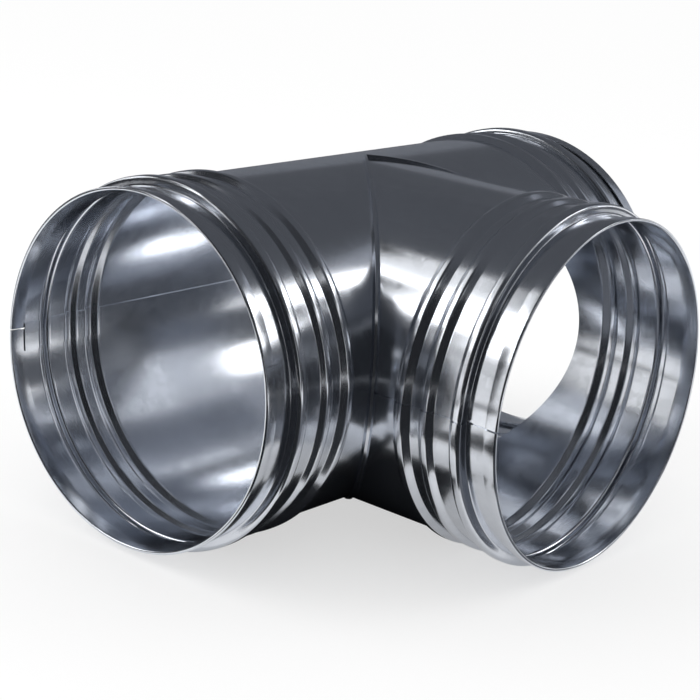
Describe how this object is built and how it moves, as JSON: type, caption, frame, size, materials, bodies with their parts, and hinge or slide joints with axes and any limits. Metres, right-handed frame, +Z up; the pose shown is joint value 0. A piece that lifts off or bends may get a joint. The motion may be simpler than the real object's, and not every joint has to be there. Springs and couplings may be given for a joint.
{
  "type": "ventilation duct tee",
  "caption": "Equal sheet-steel tee for round ventilation duct: a straight run with a square branch, each end a beaded, hemmed collar that slides into the duct.",
  "frame": {"origin": "floor level, in the middle of the footprint", "axes": "+X along the run, -Y out of the branch, +Z up"},
  "size_m": [0.28, 0.2196, 0.1592],
  "materials": {
    "run_sheet": "galvanised, bright",
    "branch_sheet": "galvanised, bright"
  },
  "bodies": {
    "root": {"run_barrel": "run_sheet", "branch_stub": "branch_sheet"}
  },
  "joints": []
}
